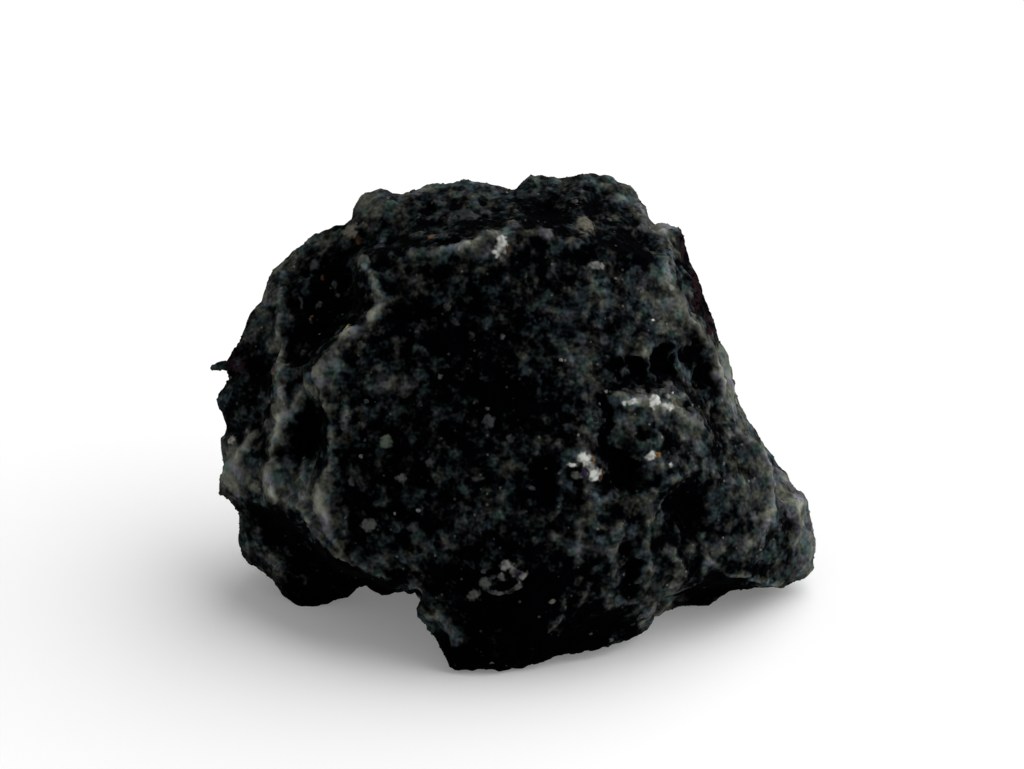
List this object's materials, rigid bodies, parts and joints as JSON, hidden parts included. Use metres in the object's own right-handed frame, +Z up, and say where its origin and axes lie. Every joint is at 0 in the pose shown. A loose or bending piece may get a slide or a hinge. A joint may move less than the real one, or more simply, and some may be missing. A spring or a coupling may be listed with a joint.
{
  "type": "carbonaceous chondrite meteorite",
  "caption": "Broken charcoal-dark stone with a broad front, brow ridge, side ribs and pockets, a low right lobe and feet; it rests on small worn flat spots.",
  "frame": {"origin": "on the surface that the stone stands on, under the middle of its box", "axes": "+X to the right of someone who looks at the broad front face, along the stone's longest extent; the front face looks towards -Y; +Z up"},
  "size_m": [0.0408, 0.029, 0.0268],
  "materials": {
    "stone": "rough, dull, broken surface"
  },
  "bodies": {
    "root": {"stone": "stone"}
  },
  "joints": []
}
